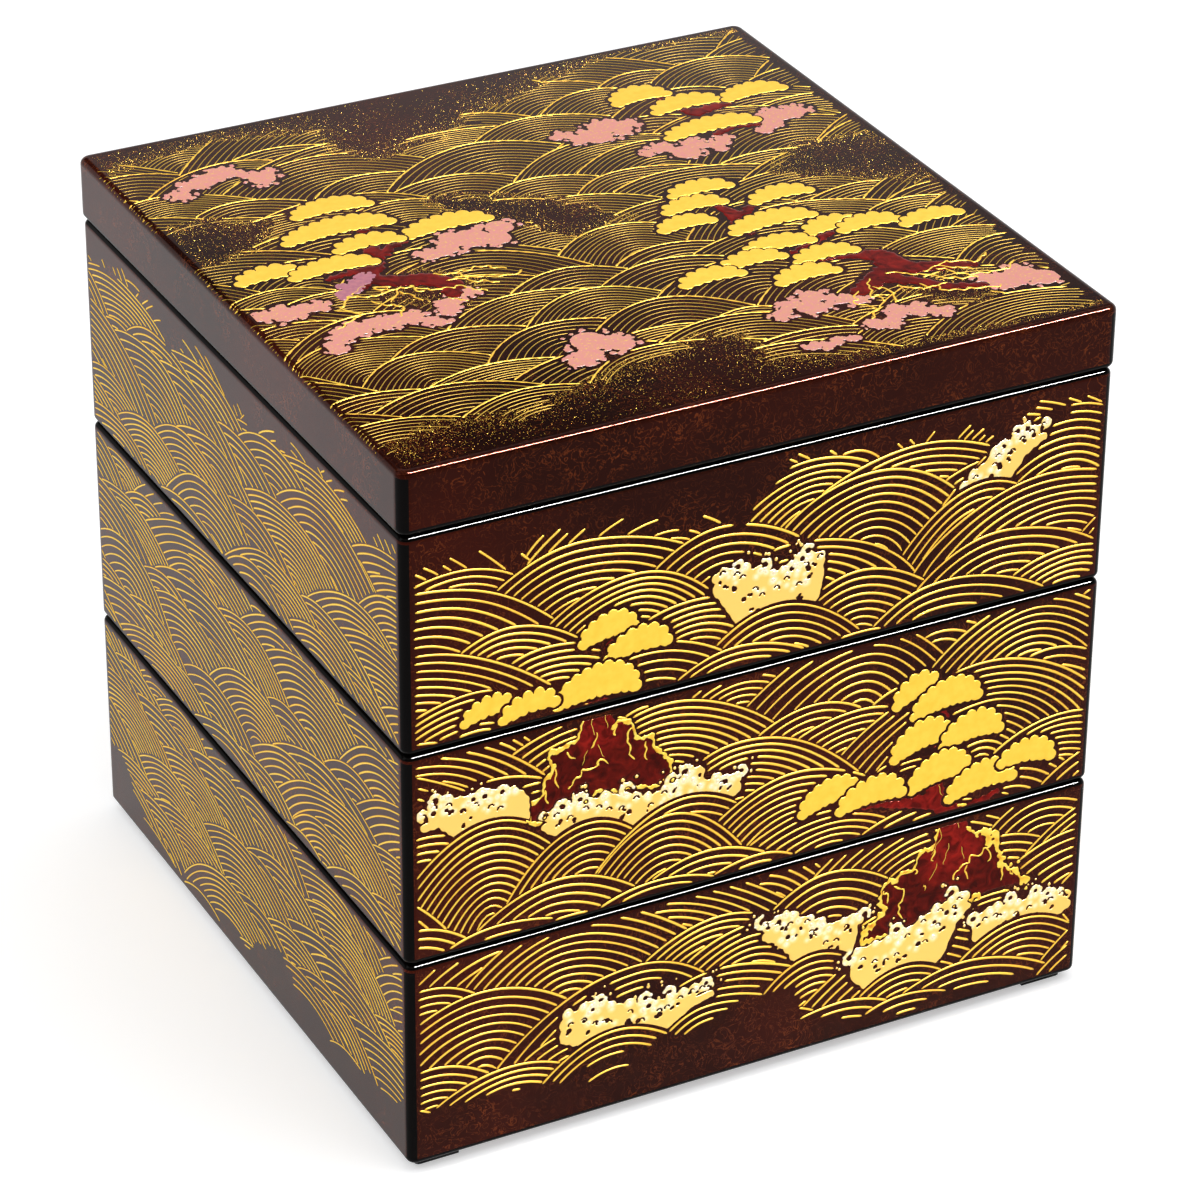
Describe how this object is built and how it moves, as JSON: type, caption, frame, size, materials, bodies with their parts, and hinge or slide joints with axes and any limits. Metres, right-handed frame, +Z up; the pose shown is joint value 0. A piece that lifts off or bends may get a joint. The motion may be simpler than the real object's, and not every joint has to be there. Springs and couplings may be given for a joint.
{
  "type": "tiered lacquer box",
  "caption": "Square lacquered wooden box of stacked open tiers with corner feet and a lift-off lid, decorated with gold waves and pines.",
  "frame": {"origin": "on the ground, in the middle of the box, under its corner feet", "axes": "+Z up through the stacked tiers, -Y towards the side with the pines on rocks, -X towards the side with waves only"},
  "size_m": [0.1968, 0.1968, 0.2],
  "materials": {
    "lacquer": "dark brown transparent lacquer over wood, polished to a deep gloss, with a faint mottled red ground",
    "gold": "sprinkled gold powder lines and leaves, satin",
    "pale_gold": "pale gold powder and white beads of the foam, satin",
    "red_lacquer": "red lacquer of the trunks and rocks, glossy",
    "pink_lacquer": "pink lacquer of the blossom clusters, glossy"
  },
  "bodies": {
    "root": {"lower_tier": "lacquer", "middle_tier": "lacquer", "upper_tier": "lacquer", "lid": "lacquer"}
  },
  "joints": []
}
